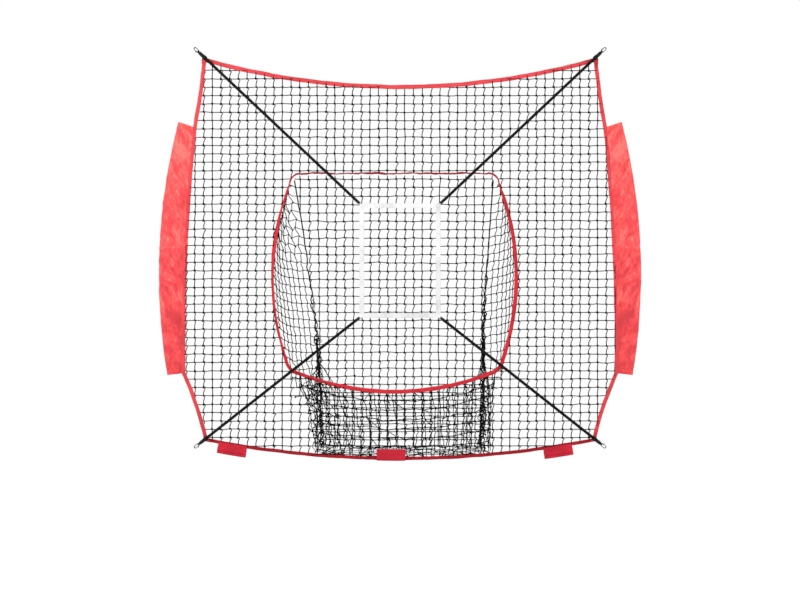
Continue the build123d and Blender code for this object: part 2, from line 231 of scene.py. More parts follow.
def hem_edge():
    return arc(mirror(NET_BOTTOM_CORNER, -1), (0, 0), NET_BOTTOM_CORNER, 60)


def net_outline():
    return join(top_edge(), side_edge(1), hem_edge()[::-1], side_edge(-1)[::-1])[:-1]


def mouth_half(side):
    """One half of the mouth's edge, from the top down to the bottom's middle."""
    lowest = (0, MOUTH_LOWEST_Z)
    low_end = MOUTH_LOW_CORNER[2]
    bottom = arc(mirror(low_end, -1), lowest, low_end, 41)[20:][::-1]
    half = join(arc(*MOUTH_TOP_CORNER, 8), arc(*MOUTH_SIDE, 40), arc(*MOUTH_LOW_CORNER, 8), bottom)
    return mirror(half, side) + (MOUTH_X, 0)


def mouth_outline():
    return np.concatenate([mouth_half(1), mouth_half(-1)[::-1][1:]])


def lengths(points):
    steps = np.linalg.norm(np.diff(points, axis=0), axis=1)
    return np.concatenate([[0], np.cumsum(steps)])


def resample(points, step):
    """The same polyline with points about this far apart."""
    points = np.asarray(points, float)
    along = lengths(points)
    at = np.linspace(0, along[-1], max(2, int(round(along[-1] / step)) + 1))
    return np.stack([np.interp(at, along, points[:, k]) for k in range(points.shape[1])], axis=1)


def inset_outline(points, amount):
    """A closed outline moved inwards by this much."""
    ahead, behind = np.roll(points, -1, axis=0), np.roll(points, 1, axis=0)
    tangent = ahead - behind
    tangent /= np.linalg.norm(tangent, axis=1, keepdims=True)
    x, z = points[:, 0], points[:, 1]
    area = np.sum(x * np.roll(z, -1) - np.roll(x, -1) * z)
    inward = np.stack([-tangent[:, 1], tangent[:, 0]], axis=1) * (1 if area > 0 else -1)
    return points + amount * inward


def crossings(outlines, axis, value):
    """Where a line at this value of one axis crosses closed outlines: the other's sorted values."""
    found = []
    for outline in outlines:
        a, b = outline, np.roll(outline, -1, axis=0)
        near, far = a[:, axis] - value, b[:, axis] - value
        cut = (near <= 0) != (far <= 0)
        share = near[cut] / (near[cut] - far[cut])
        found.append(a[cut, 1 - axis] + share * (b[cut, 1 - axis] - a[cut, 1 - axis]))
    return np.sort(np.concatenate(found))


# ---- ramps, and noise along a line --------------------------------------------------
def rise(value, start, length):
    """0 up to the start, and from there up to 1 over this length."""
    return np.clip((value - start) / length, 0, 1)


def fall(value, start, length):
    """0 down to the start, and below it up to 1 over this length."""
    return np.clip((start - value) / length, 0, 1)


def waves(rng, along, height, longest, count=5):
    """A smooth random wave of about this height, its longest wavelength first."""
    total = np.zeros_like(along, dtype=float)
    for k in range(count):
        length = longest / (1.7**k) * rng.uniform(0.85, 1.2)
        size = rng.uniform(0.5, 1) / (1.35**k)
        total += size * np.sin(2 * np.pi * along / length + rng.uniform(0, 7))
    return height * total / 1.6


# ---- mesh building ------------------------------------------------------------------
class Shape:
    """Collects surfaces, with UVs in metres and a material each, and makes one object."""

    def __init__(self, name, materials):
        self.name = name
        self.materials = materials
        self.points = []
        self.faces = []
        self.uvs = []
        self.marks = []
        self.count = 0

    def add(self, points, faces, uvs=None, mark=0):
        """faces is an array of quads or triangles, and uvs has one row for each point."""
        points = np.asarray(points, float).reshape(-1, 3)
        faces = np.asarray(faces, int)
        if uvs is None:
            uvs = points[:, [0, 2]]
        corners = np.asarray(uvs, float)[faces.reshape(-1)]
        self.points.append(points)
        self.faces.append(faces + self.count)
        self.uvs.append(corners)
        self.marks.append(np.full(len(faces), mark))
        self.count += len(points)

    def make(self):
        mesh = bpy.data.meshes.new(self.name)
        points = np.concatenate(self.points)
        sizes = np.concatenate([np.full(len(f), f.shape[1]) for f in self.faces])
        loops = np.concatenate([f.reshape(-1) for f in self.faces])
        mesh.vertices.add(len(points))
        mesh.vertices.foreach_set("co", points.reshape(-1))
        mesh.loops.add(len(loops))
        mesh.loops.foreach_set("vertex_index", loops)
        mesh.polygons.add(len(sizes))
        starts = np.concatenate([[0], np.cumsum(sizes)[:-1]])
        mesh.polygons.foreach_set("loop_start", starts)
        mesh.polygons.foreach_set("loop_total", sizes)
        mesh.polygons.foreach_set("material_index", np.concatenate(self.marks))
        mesh.polygons.foreach_set("use_smooth", np.full(len(sizes), True))
        layer = mesh.uv_layers.new(name="UVMap")
        mesh.update(calc_edges=True)
        layer.data.foreach_set("uv", np.concatenate(self.uvs).reshape(-1))
        for material in self.materials:
            mesh.materials.append(material)
        mesh.validate()
        made = bpy.data.objects.new(self.name, mesh)
        bpy.context.scene.collection.objects.link(made)
        return made


def unit(v):
    return v / np.maximum(np.linalg.norm(v, axis=-1, keepdims=True), 1e-12)


def tangents(path):
    ahead = np.vstack([path[1:], path[-1:]])
    behind = np.vstack([path[:1], path[:-1]])
    return unit(ahead - behind)


def grid_faces(rows, columns, wrap=False):
    """Quads of a grid of points, wrapped round in the second direction if asked."""
    wide = columns if wrap else columns - 1
    i, j = np.meshgrid(np.arange(rows - 1), np.arange(wide), indexing="ij")
    i, j = i.reshape(-1), j.reshape(-1)
    k = (j + 1) % columns
    here, beyond = i * columns, (i + 1) * columns
    return np.stack([here + j, here + k, beyond + k, beyond + j], axis=1)


def grid_uvs(across, along, size):
    """UVs in metres for a grid of points: one way across it and one along it."""
    both = [np.broadcast_to(across, size), np.broadcast_to(along[:, None], size)]
    return np.stack(both, axis=2).reshape(-1, 2)


def add_caps(shape, points, path, mark):
    """A fan of triangles that closes each end of a tube of points round a path."""
    sides = points.shape[1]
    order = np.arange(sides)
    faces = np.stack([order, (order + 1) % sides, np.full(sides, sides)], axis=1)
    for end, turned in ((0, faces[:, ::-1]), (len(path) - 1, faces)):
        shape.add(np.vstack([points[end], path[end]]), turned, None, mark)


def add_tube(shape, path, radius, sides=6, reference=(0, 1, 0), mark=0, ends=True):
    """A round tube along a path. radius is one number or one for each point."""
    path = np.asarray(path, float)
    n = len(path)
    t = tangents(path)
    r = np.tile(np.asarray(reference, float), (n, 1))
    a = unit(r - np.sum(r * t, axis=1, keepdims=True) * t)
    b = np.cross(t, a)
    angle = np.linspace(0, 2 * np.pi, sides, endpoint=False)
    radius = np.broadcast_to(np.asarray(radius, float), (n,))
    c, s = np.cos(angle)[None, :, None], np.sin(angle)[None, :, None]
    ring = a[:, None, :] * c + b[:, None, :] * s
    points = path[:, None, :] + ring * radius[:, None, None]
    uvs = grid_uvs(angle * radius.mean(), lengths(path), (n, sides))
    shape.add(points, grid_faces(n, sides, wrap=True), uvs, mark)
    if ends:
        add_caps(shape, points, path, mark)


def knot_template():
    """A small lumpy knot, about one across, as points and triangles."""
    mesh = bmesh.new()
    bmesh.ops.create_icosphere(mesh, subdivisions=1, radius=1.0)
    points = np.array([v.co[:] for v in mesh.verts])
    faces = np.array([[v.index for v in f.verts] for f in mesh.faces])
    mesh.free()
    return points, faces


KNOT_POINTS, KNOT_FACES = knot_template()


def add_knots(shape, places, radius, rng):
    """Lumpy knots at these places, each turned and sized at random."""
    places = np.asarray(places, float).reshape(-1, 3)
    if not len(places):
        return
    n = len(places)
    angle = rng.uniform(0, 2 * np.pi, n)
    size = radius * rng.uniform(0.85, 1.2, (n, 1, 1)) * np.array([1.0, 0.8, 1.25])
    c, s = np.cos(angle), np.sin(angle)
    turn = np.zeros((n, 3, 3))
    turn[:, 0, 0], turn[:, 0, 2], turn[:, 2, 0], turn[:, 2, 2], turn[:, 1, 1] = c, s, -s, c, 1
    lumps = np.einsum("nij,kj->nki", turn, KNOT_POINTS) * size
    points = places[:, None, :] + lumps
    faces = KNOT_FACES[None] + (np.arange(n) * len(KNOT_POINTS))[:, None, None]
    shape.add(points.reshape(-1, 3), faces.reshape(-1, 3))


def add_stitches(shape, path, face_normal, across, stitch, mark, rng, offset):
    """A row of thread stitches along a path, standing on one face of a tape. face_normal and
    across are one direction each, or one for each point of the path."""
    length, gap, thread = stitch
    along = lengths(path)
    pitch = length + gap
    middles = np.arange(pitch, along[-1] - pitch, pitch)
    if not len(middles):
        return
    t = tangents(path)

    def at(values, s):
        values = np.broadcast_to(values, path.shape)
        return np.stack([np.interp(s, along, values[:, k]) for k in range(3)], axis=1)

    p, d = at(path, middles), unit(at(t, middles))
    n, a = unit(at(face_normal, middles)), unit(at(across, middles))
    d = unit(d + a * rng.normal(0, 0.05, (len(middles), 1)))
    side = np.cross(n, d)
    centre = p + n * offset
    half = length / 2
    rows = []
    for share, width, lift in ((-1, 0.25, -0.6), (-0.6, 1, 0.2), (0.6, 1, 0.2), (1, 0.25, -0.6)):
        for angle in np.linspace(0, 2 * np.pi, 5, endpoint=False):
            ring = (n * np.sin(angle) + side * np.cos(angle)) * thread * width
            rows.append(centre + d * half * share + n * thread * lift + ring)
    points = np.stack(rows, axis=1)
    faces = grid_faces(4, 5, wrap=True)
    every = faces[None] + (np.arange(len(middles)) * 20)[:, None, None]
    shape.add(points.reshape(-1, 3), every.reshape(-1, 4), None, mark)


def add_tape(shape, path, width, thickness, across, rng, **options):
    """A folded tape along a 3-D path. across is the way of its width at each point.
    Options: wobble (side to side), flutter (through its face), stitch_rows (places across
    the width, from -1 to 1), ripple (how much its width varies)."""
    path = np.asarray(path, float)
    n = len(path)
    t = tangents(path)
    across = unit(across - np.sum(across * t, axis=1, keepdims=True) * t)
    normal = np.cross(t, across)
    along = lengths(path)
    path = path + across * waves(rng, along, options.get("wobble", 0.0006), 0.31)[:, None]
    path = path + normal * waves(rng, along, options.get("flutter", 0.0008), 0.22)[:, None]
    half = width / 2 * (1 + waves(rng, along, options.get("ripple", 0.03), 0.17))
    deep = thickness / 2 * (1 + waves(rng, along, 0.12, 0.05))
    # Across the tape: a round fold, a flat run with a dent at each stitch row, a cut edge.
    rows = options.get("stitch_rows", (0.72, -0.78))
    u = np.array([-1, -0.97, -0.88, -0.78, -0.66, -0.35, 0, 0.35, 0.6, 0.72, 0.84, 0.95, 1])
    height = np.sqrt(np.clip(1 - np.abs(u) ** 7, 0, 1))
    for row in rows:
        height *= 1 - 0.32 * np.exp(-(((u - row) / 0.07) ** 2))
    loop_u = np.concatenate([u, u[-2:0:-1]])
    loop_h = np.concatenate([height, -height[-2:0:-1]])
    points = (
        path[:, None, :]
        + across[:, None, :] * (half[:, None] * loop_u[None])[:, :, None]
        + normal[:, None, :] * (deep[:, None] * loop_h[None])[:, :, None]
    )
    m = len(loop_u)
    around = np.concatenate([[0], np.cumsum(np.abs(np.diff(loop_u)))]) * width / 2
    shape.add(points, grid_faces(n, m, wrap=True), grid_uvs(around, along, (n, m)))
    add_caps(shape, points, path, 0)
    for row in rows:
        dent = thickness / 2 * np.interp(row, u, height)
        for face in (1, -1):
            line = path + across * (half * row)[:, None]
            add_stitches(shape, line, normal * face, across, TAPE_STITCH, 1, rng, dent)


def flat_path(points, y=0.0):
    """Plane points (x, z) as 3-D points at this Y."""
    points = np.asarray(points, float)
    return np.stack([points[:, 0], np.full(len(points), y), points[:, 1]], axis=1)


def inward_of(path, centre):
    """At each point of a path in the net's plane, the way square to it that points to a centre."""
    t = tangents(path)
    square = np.cross(t, np.array([0, 1.0, 0]))
    to_centre = np.array([centre[0], 0, centre[1]]) - path
    sign = np.sign(np.sum(square * to_centre, axis=1, keepdims=True))
    return square * sign


# ---- materials ----------------------------------------------------------------------
class Nodes:
    """A short way to write a node tree."""

    def __init__(self, name, roughness, base, specular):
        self.material = bpy.data.materials.new(name)
        self.material.use_nodes = True
        self.tree = self.material.node_tree
        self.shader = self.tree.nodes["Principled BSDF"]
        self.shader.inputs["Roughness"].default_value = roughness
        self.shader.inputs["Base Color"].default_value = (*base, 1)
        self.shader.inputs["Specular IOR Level"].default_value = specular

    def node(self, kind, settings=None, **inputs):
        made = self.tree.nodes.new(kind)
        for key, value in (settings or {}).items():
            setattr(made, key, value)
        for key, value in inputs.items():
            socket = made.inputs[key.replace("_", " ")]
            if isinstance(value, bpy.types.NodeSocket):
                self.tree.links.new(value, socket)
            else:
                socket.default_value = value
        return made

    def link(self, output, socket):
        self.tree.links.new(output, socket)

    def math(self, operation, first, second=0.5):
        made = self.tree.nodes.new("ShaderNodeMath")
        made.operation = operation
        for k, value in enumerate((first, second)):
            if isinstance(value, bpy.types.NodeSocket):
                self.tree.links.new(value, made.inputs[k])
            else:
                made.inputs[k].default_value = value
        return made.outputs[0]

    def object_noise(self, scale, detail=4.0):
        place = self.node("ShaderNodeTexCoord")
        noise = self.node(
            "ShaderNodeTexNoise", None, Scale=scale, Detail=detail, Vector=place.outputs["Object"]
        )
        return noise.outputs["Fac"]

    def stripes(self, value, pitch):
        return self.math("SINE", self.math("MULTIPLY", value, math.pi / pitch))

    def stretched(self, vector, turn, size):
        """The vector turned in its plane and stretched, for slanting patterns."""
        mapped = self.node("ShaderNodeMapping", {"vector_type": "TEXTURE"}, Vector=vector)
        mapped.inputs["Rotation"].default_value = (0, 0, turn)
        mapped.inputs["Scale"].default_value = (*size, 1)
        return mapped.outputs[0]

    def ramp(self, value, stops):
        made = self.tree.nodes.new("ShaderNodeValToRGB")
        self.tree.links.new(value, made.inputs["Fac"])
        elements = made.color_ramp.elements
        for element, (at, colour) in zip(elements, (stops[0], stops[-1])):
            element.position = at
            element.color = (*colour, 1)
        for at, colour in stops[1:-1]:
            element = elements.new(at)
            element.color = (*colour, 1)
        return made.outputs["Color"]

    def weave(self, across, along):
        """A plain weave on the UVs, which are in metres: threads of these widths."""
        uv = self.node("ShaderNodeTexCoord").outputs["UV"]
        split = self.node("ShaderNodeSeparateXYZ", None, Vector=uv)
        u = self.stripes(split.outputs["X"], across)
        v = self.stripes(split.outputs["Y"], along)
        crossed = self.math("MULTIPLY", u, v)
        return self.math("ADD", crossed, self.math("MULTIPLY", self.math("ABSOLUTE", v), 0.4))

    def bump(self, height, strength, distance):
        made = self.tree.nodes.new("ShaderNodeBump")
        made.inputs["Strength"].default_value = strength
        made.inputs["Distance"].default_value = distance
        self.tree.links.new(height, made.inputs["Height"])
        self.tree.links.new(made.outputs["Normal"], self.shader.inputs["Normal"])

    def vary(self, stops, scale, detail=4.0):
        colour = self.ramp(self.object_noise(scale, detail), stops)
        self.link(colour, self.shader.inputs["Base Color"])


def shade(colour, amount):
    return tuple(min(1.0, c * amount) for c in colour)


def twine_material(name, base):
    """Twisted polyester twine: dark, matt, with the strands' twist as bump."""
    m = Nodes(name, 0.75, base, 0.05)
    m.vary([(0.3, shade(base, 0.55)), (0.7, shade(base, 1.5))], 60)
    place = m.node("ShaderNodeTexCoord").outputs["Object"]
    twist = m.node(
        "ShaderNodeTexWave", {"bands_direction": "DIAGONAL"},
        Vector=place, Scale=260.0, Distortion=2.0,
    )
    m.bump(twist.outputs["Fac"], 0.5, 0.0004)
    return m.material


def tape_material(name, base, across=0.0011, along=0.0009, roughness=0.62):
    """Woven tape: a fine weave, a little sheen, and tone that drifts along it."""
    m = Nodes(name, roughness, base, 0.08)
    m.vary([(0.32, shade(base, 0.82)), (0.5, base), (0.68, shade(base, 1.16))], 9, 6)
    m.bump(m.weave(across, along), 0.6, 0.00035)
    return m.material


def sleeve_material(name, base):
    """Thin plain-weave cloth in slanting crumpled facets, with painted shade and highlights."""
    m = Nodes(name, 0.5, base, 0.3)
    place = m.node("ShaderNodeTexCoord")
    uv = place.outputs["UV"]
    bend = m.node("ShaderNodeTexNoise", None, Vector=uv, Scale=9.0, Detail=2.0)
    bent = m.node("ShaderNodeVectorMath", {"operation": "MULTIPLY_ADD"})
    m.link(bend.outputs["Color"], bent.inputs[0])
    bent.inputs[1].default_value = (0.06, 0.06, 0)
    m.link(uv, bent.inputs[2])
    facets, heights = [], []
    for turn, size in ((0.62, (0.030, 0.120)), (-0.55, (0.040, 0.100))):
        cells = m.node(
            "ShaderNodeTexVoronoi", {"feature": "SMOOTH_F1"},
            Vector=m.stretched(bent.outputs[0], turn, size), Scale=1.0, Smoothness=0.3,
        )
        split = m.node("ShaderNodeSeparateColor", None, Color=cells.outputs["Color"])
        facets.append(split.outputs["Red"])
        heights.append(cells.outputs["Distance"])
    lines = []
    for turn, size in ((0.75, (0.017, 0.085)), (-0.65, (0.020, 0.070)), (0.25, (0.024, 0.100))):
        slant = m.stretched(bent.outputs[0], turn, size)
        noise = m.node("ShaderNodeTexNoise", None, Vector=slant, Scale=1.0, Detail=1.5)
        off_line = m.math("ABSOLUTE", m.math("SUBTRACT", noise.outputs["Fac"], 0.5))
        beside = m.math("MINIMUM", m.math("MULTIPLY", off_line, 13), 1.0)
        lines.append(m.math("SUBTRACT", 1.0, beside))
    soft = m.node("ShaderNodeTexNoise", None, Scale=5.0, Detail=5.0, Vector=uv).outputs["Fac"]
    up = m.node("ShaderNodeSeparateXYZ", None, Vector=place.outputs["Object"]).outputs["Z"]
    # The facets' random shares and the height term, paler towards the top, are painted light.
    parts = (
        (facets[0], 0.30), (facets[1], 0.20), (soft, 0.36), (m.math("SUBTRACT", up, 1.05), 0.21),
        (lines[0], -0.14), (lines[1], -0.10), (lines[2], 0.15),
    )
    # The first two sets of crease lines are painted shade, the third a painted highlight; the soft
    # noise is random tone.
    tone = 0.05
    for value, weight in parts:
        tone = m.math("ADD", m.math("MULTIPLY", value, weight), tone)
    # The ramp's two darker colours are painted shade, its last and paler one a painted highlight.
    deep = (base[0] * 0.66, base[1] * 0.44, base[2] * 0.56)
    low = (base[0] * 0.88, base[1] * 0.74, base[2] * 0.84)
    painted_highlight = (base[0] * 1.06, base[1] * 2.3, base[2] * 2.0)
    colour = m.ramp(tone, [(0.20, deep), (0.38, low), (0.50, base), (0.70, painted_highlight)])
    m.link(colour, m.shader.inputs["Base Color"])
    relief = m.math("MULTIPLY", m.math("ADD", heights[0], heights[1]), 3.4)
    relief = m.math("ADD", relief, m.math("MULTIPLY", m.math("SUBTRACT", lines[2], lines[0]), 1.1))
    m.bump(m.math("ADD", relief, m.weave(0.0007, 0.0007)), 0.6, 0.0011)
    return m.material


def braid_material(name, base):
    """A braided cord cover: crossing bands on the UVs."""
    m = Nodes(name, 0.42, base, 0.05)
    uv = m.node("ShaderNodeTexCoord").outputs["UV"]
    split = m.node("ShaderNodeSeparateXYZ", None, Vector=uv)
    pitch = 0.0026
    sums = m.math("ADD", split.outputs["X"], split.outputs["Y"])
    lean = m.math("SUBTRACT", split.outputs["X"], split.outputs["Y"])
    one, two = m.stripes(sums, pitch), m.stripes(lean, pitch)
    braid = m.math("MULTIPLY", one, two)
    m.link(
        m.ramp(m.math("ADD", m.math("MULTIPLY", braid, 0.35), m.object_noise(70)),
               [(0.25, shade(base, 0.5)), (0.75, shade(base, 1.9))]),
        m.shader.inputs["Base Color"],
    )
    m.bump(braid, 0.7, 0.0006)
    return m.material


def metal_material(name, base, metallic, roughness):
    """Coated metal or moulded plastic, slightly mottled."""
    m = Nodes(name, roughness, base, 0.15)
    m.shader.inputs["Metallic"].default_value = metallic
    m.vary([(0.35, shade(base, 0.8)), (0.65, shade(base, 1.5))], 90, 5)
    m.link(m.math("ADD", m.math("MULTIPLY", m.object_noise(140, 3), 0.22), roughness - 0.1),
           m.shader.inputs["Roughness"])
    m.bump(m.object_noise(320, 2), 0.15, 0.0003)
    return m.material


def make_materials():
    coral = (0.66, 0.050, 0.051)
    binding = (0.42, 0.035, 0.041)
    return {
        "twine": twine_material("twine", (0.003, 0.003, 0.0033)),
        "binding": tape_material("binding_tape", binding),
        "rim": tape_material("rim_tape", (0.36, 0.014, 0.022)),
        "hem": tape_material("hem_tape", (0.20, 0.004, 0.009)),
        "loop": tape_material("loop_cloth", (0.33, 0.010, 0.021), 0.0008, 0.0008),
        "red_thread": tape_material("red_thread", shade(binding, 0.6), 0.0004, 0.0006, 0.5),
        "coral_thread": tape_material("coral_thread", shade(coral, 0.6), 0.0004, 0.0006, 0.5),
        "sleeve": sleeve_material("sleeve_cloth", coral),
        "white": tape_material("white_webbing", (0.447, 0.447, 0.452), 0.0016, 0.0012, 0.7),
        "white_thread": tape_material("white_thread", (0.42, 0.42, 0.43), 0.0004, 0.0006, 0.6),
        "black_webbing": tape_material("black_webbing", (0.005, 0.005, 0.0055), 0.0014, 0.001, 0.7),
        "black_thread": tape_material("black_thread", (0.02, 0.02, 0.02), 0.0004, 0.0006, 0.6),
        "bungee": braid_material("bungee_cover", (0.0022, 0.0022, 0.0024)),
        "hook": metal_material("hook_coating", (0.0025, 0.0025, 0.0027), 0.0, 0.6),
        "steel": metal_material("pin_steel", (0.004, 0.004, 0.0043), 0.1, 0.5),
        "clip": metal_material("clip_plastic", (0.003, 0.003, 0.0032), 0.0, 0.6),
    }


# ---- netting ------------------------------------------------------------------------
def column_kink(number, rng):
    """How far one column's twine bows out below each knot: strong and weak columns by turns."""
    strong = number % 2 == 0 or rng.random() < 0.45
    return rng.uniform(0.0070, 0.0100) if strong else rng.uniform(0.0, 0.0045)


def grid_netting(shape, outlines, place, rng, phase, slack=0.0):
    """Square netting inside closed outlines: columns that kink below each knot, straighter
    rows, and a knot at each crossing. place turns plane points into 3-D points."""
    outline = np.concatenate(outlines)
    low, high = outline.min(axis=0), outline.max(axis=0)

    def lines(k, cell):
        first, last = (low[k] - phase[k]) / cell, (high[k] - phase[k]) / cell
        return np.arange(math.ceil(first), math.floor(last) + 1)

    columns, rows = lines(0, CELL_X), lines(1, CELL_Z)
    jitter = rng.normal(0, 0.0011 + slack, (len(rows) + 2, len(columns) + 2, 2))
    row_of = {int(j): k + 1 for k, j in enumerate(rows)}
    column_of = {int(i): k + 1 for k, i in enumerate(columns)}

    def crossing(i, j):
        dx, dz = jitter[row_of[int(j)], column_of[int(i)]]
        return np.array([phase[0] + i * CELL_X + dx, phase[1] + j * CELL_Z + dz])

    knots = []
    for i in columns:
        x = phase[0] + i * CELL_X
        kink = column_kink(i, rng)
        cuts = crossings(outlines, 0, x)
        for bottom, top in zip(cuts[0::2], cuts[1::2]):
            inside = [j for j in rows if bottom + 0.004 < phase[1] + j * CELL_Z < top - 0.004]
            line = [np.array([x, bottom])]
            for j in inside:
                here = crossing(i, j)
                knots.append(here)
                step = here - line[-1]
                pull = kink * rng.uniform(0.75, 1.2)
                line += [
                    line[-1] + step * 0.30,
                    line[-1] + step * 0.62 + (pull * 0.35, 0),
                    line[-1] + step * 0.84 + (pull, 0),
                    here,
                ]
            line.append(np.array([x, top]))
            add_tube(shape, place(np.array(line)), TWINE, 5)
    for j in rows:
        z = phase[1] + j * CELL_Z
        sag = rng.choice([0.0, 0.0, 0.0016])
        cuts = crossings(outlines, 1, z)
        for left, right in zip(cuts[0::2], cuts[1::2]):
            inside = [i for i in columns if left + 0.004 < phase[0] + i * CELL_X < right - 0.004]
            line = [np.array([left, z])]
            for i in inside:
                here = crossing(i, j)
                line += [(line[-1] + here) / 2 - (0, sag), here]
            line.append(np.array([right, z]))
            add_tube(shape, place(np.array(line)), TWINE * 0.9, 5)
    knots = np.array(knots)
    edge = resample(np.vstack([outlines[0], outlines[0][:1]]), 0.006)
    from_edge = np.linalg.norm(knots[:, None, :] - edge[None, :, :], axis=2).min(axis=1)
    add_knots(shape, place(knots[from_edge > 0.015]), KNOT, rng)


def make_net_panel(materials):
    rng = np.random.default_rng(11)
    shape = Shape("net_panel", [materials["twine"]])
    outer = inset_outline(net_outline(), BINDING_WIDTH * 0.6)
    mouth = inset_outline(mouth_outline(), -0.008)

    def place(points):
        points = np.asarray(points).reshape(-1, 2)
        bow = 0.0015 * np.sin(points[:, 0] * 5.1 + 0.7) * np.sin(points[:, 1] * 4.3)
        return np.stack([points[:, 0], bow, points[:, 1]], axis=1)

    grid_netting(shape, [outer, mouth], place, rng, (FIRST_COLUMN, FIRST_ROW))
    finish_piece(shape.make(), "net", "main_net")


def finish_piece(piece, body, node=None):
    """Puts a piece on its body, in place of a CAD node if one is named."""
    if node:
        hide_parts(node)
    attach(piece, body)


# ---- pocket -------------------------------------------------------------------------
LEVELS = np.array(POCKET_LEVELS)[::-1]


def pocket_level(z):
    """The back's left and right seams and its depth at a height."""
    z = np.asarray(z, float)
    left, right, depth = [np.interp(z, LEVELS[:, 0], LEVELS[:, k]) for k in (3, 4, 5)]
    above = rise(z, 1.5, 0.028)
    return left, right, depth * (1 - above) + 0.006 * above


def front_edge_x(side, z):
    """The X of the gusset's front edge: the mouth's edge, and the bag's side below it."""
    half = np.array(join(arc(*MOUTH_TOP_CORNER, 8), arc(*MOUTH_SIDE, 40)))[::-1]
    at_rim = MOUTH_X + side * np.interp(z, half[:, 1], half[:, 0])
    at_level = np.interp(z, LEVELS[:, 0], LEVELS[:, 1 if side < 0 else 2])
    return np.where(np.asarray(z) > 0.545, at_rim, at_level)


def back_billow(x, z):
    """How far the slack back panel hangs behind its flat shape."""
    across = np.clip((x + 0.47) / 0.94, 0, 1)
    up = np.clip(z / 1.5, 0, 1)
    return 0.016 * np.sin(np.pi * across) * np.sin(np.pi * up**0.8)


def make_pocket_back(materials):
    rng = np.random.default_rng(23)
    shape = Shape("pocket_back_netting", [materials["twine"]])
    heights = np.linspace(0.04, 1.526, 40)
    left, right, _ = pocket_level(heights)
    outline = np.concatenate(
        [np.stack([left, heights], axis=1), np.stack([right, heights], axis=1)[::-1]]
    )

    def place(points):
        points = np.asarray(points).reshape(-1, 2)
        _, _, depth = pocket_level(points[:, 1])
        y = depth + back_billow(points[:, 0], points[:, 1])
        return np.stack([points[:, 0], y, points[:, 1]], axis=1)

    grid_netting(shape, [outline], place, rng, (FIRST_COLUMN, FIRST_ROW), 0.0004)
    finish_piece(shape.make(), "net", "pocket_back")


def gusset_point(side, u, z):
    """A point of a gusset: u is 0 at the rim and 1 at the back's seam."""
    left, right, depth = pocket_level(z)
    seam = left if side < 0 else right
    rim = front_edge_x(side, z)
    low = fall(z, 0.50, 0.35)
    gather = side * -(0.085 if side < 0 else 0.070) * low * np.sin(np.pi * np.clip(u, 0, 1)) ** 1.3
    billow = side * 0.020 * (1 - low) * np.sin(np.pi * np.clip(u, 0, 1))
    x = rim + (seam - rim) * u + gather + billow
    y = 0.004 + (depth - 0.004) * u
    return np.stack([x, y, z], axis=-1)


def make_gusset(side, materials):
    """A slack gusset of square netting: columns beside the seam, each starting at the rim."""
    name = SIDES[side]
    rng = np.random.default_rng(31 if side < 0 else 37)
    shape = Shape(f"pocket_{name}_gusset_netting", [materials["twine"]])
    heights = np.linspace(0.04, 1.50, 60)
    left, right, _ = pocket_level(heights)
    wide = np.abs(front_edge_x(side, heights) - (left if side < 0 else right))
    cells = np.minimum(wide / GUSSET_COLUMN, 10 if side < 0 else 8)
    rows = np.arange(1.462, 0.045, -CELL_Z)
    across = np.interp(rows, heights, cells)

    def point(u, z):
        """A slack point of the netting, higher towards the rim, and tangled near the hem."""
        u = np.clip(np.asarray(u, float), 0, 1)
        low = fall(z, 0.56, 0.30)
        lift = 0.050 * np.exp(-u / 0.20) + 0.012 * (1 - u) if side < 0 else 0.040 * (1 - u)
        lift = lift * fall(z, 1.5, 0.3) * rise(z, 0.4, 0.3)
        made = gusset_point(side, u, np.clip(z + lift, 0.030, 1.50))
        made = made + rng.normal(0, 1, 3) * (0.0012 + 0.009 * low) * np.array([1, 0.9, 0.5])
        made[1] = np.clip(made[1], 0.006, 0.281)
        return made

    knots = {}
    for j, (z, n) in enumerate(zip(rows, across)):
        slack = 0.10 + (0.90 if side < 0 else 0.25) * rise(z, 1.0, 0.22)
        for k in range(int(math.ceil(n))):
            turn = 1 if (j + k) % 2 else -1
            u = 1 - k / n + (turn * slack * 0.27 / n if k else 0)
            knots[j, k] = point(u, z + (0.009 * slack * (1 if k % 2 else -1) if k else 0))
        knots[j, "rim"] = point(0.0, z)
    for j, n in enumerate(across):
        run = [knots[j, k] for k in range(int(math.ceil(n)))] + [knots[j, "rim"]]
        line = [run[0]]
        for a, b in zip(run[:-1], run[1:]):
            middle = (a + b) / 2 + rng.normal(0, 0.0016, 3)
            line += [middle + (0, 0, rng.choice([-0.003, 0.002])), b]
        add_tube(shape, np.array(line), TWINE * 0.84, 5, (0, 0, 1))
    for k in range(1, int(max(across)) + 1):
        run = [knots[j, k] for j in range(len(rows)) if (j, k) in knots]
        if len(run) < 2:
            continue
        highest = heights[np.flatnonzero(cells > k)[-1]]
        line = [point(0.0, float(highest)), run[0]]
        for a, b in zip(run[:-1], run[1:]):
            bow = np.array([rng.uniform(0.001, 0.005) * side, 0, 0])
            line += [a + (b - a) * 0.3 + bow, a + (b - a) * 0.75 - bow * 0.3, b]
        add_tube(shape, np.array(line), TWINE * 0.84, 5)
    add_knots(shape, np.array(list(knots.values())), KNOT * 0.75, rng)
    add_low_folds(shape, side, rng)
    finish_piece(shape.make(), "net", f"pocket_{name}_gusset")


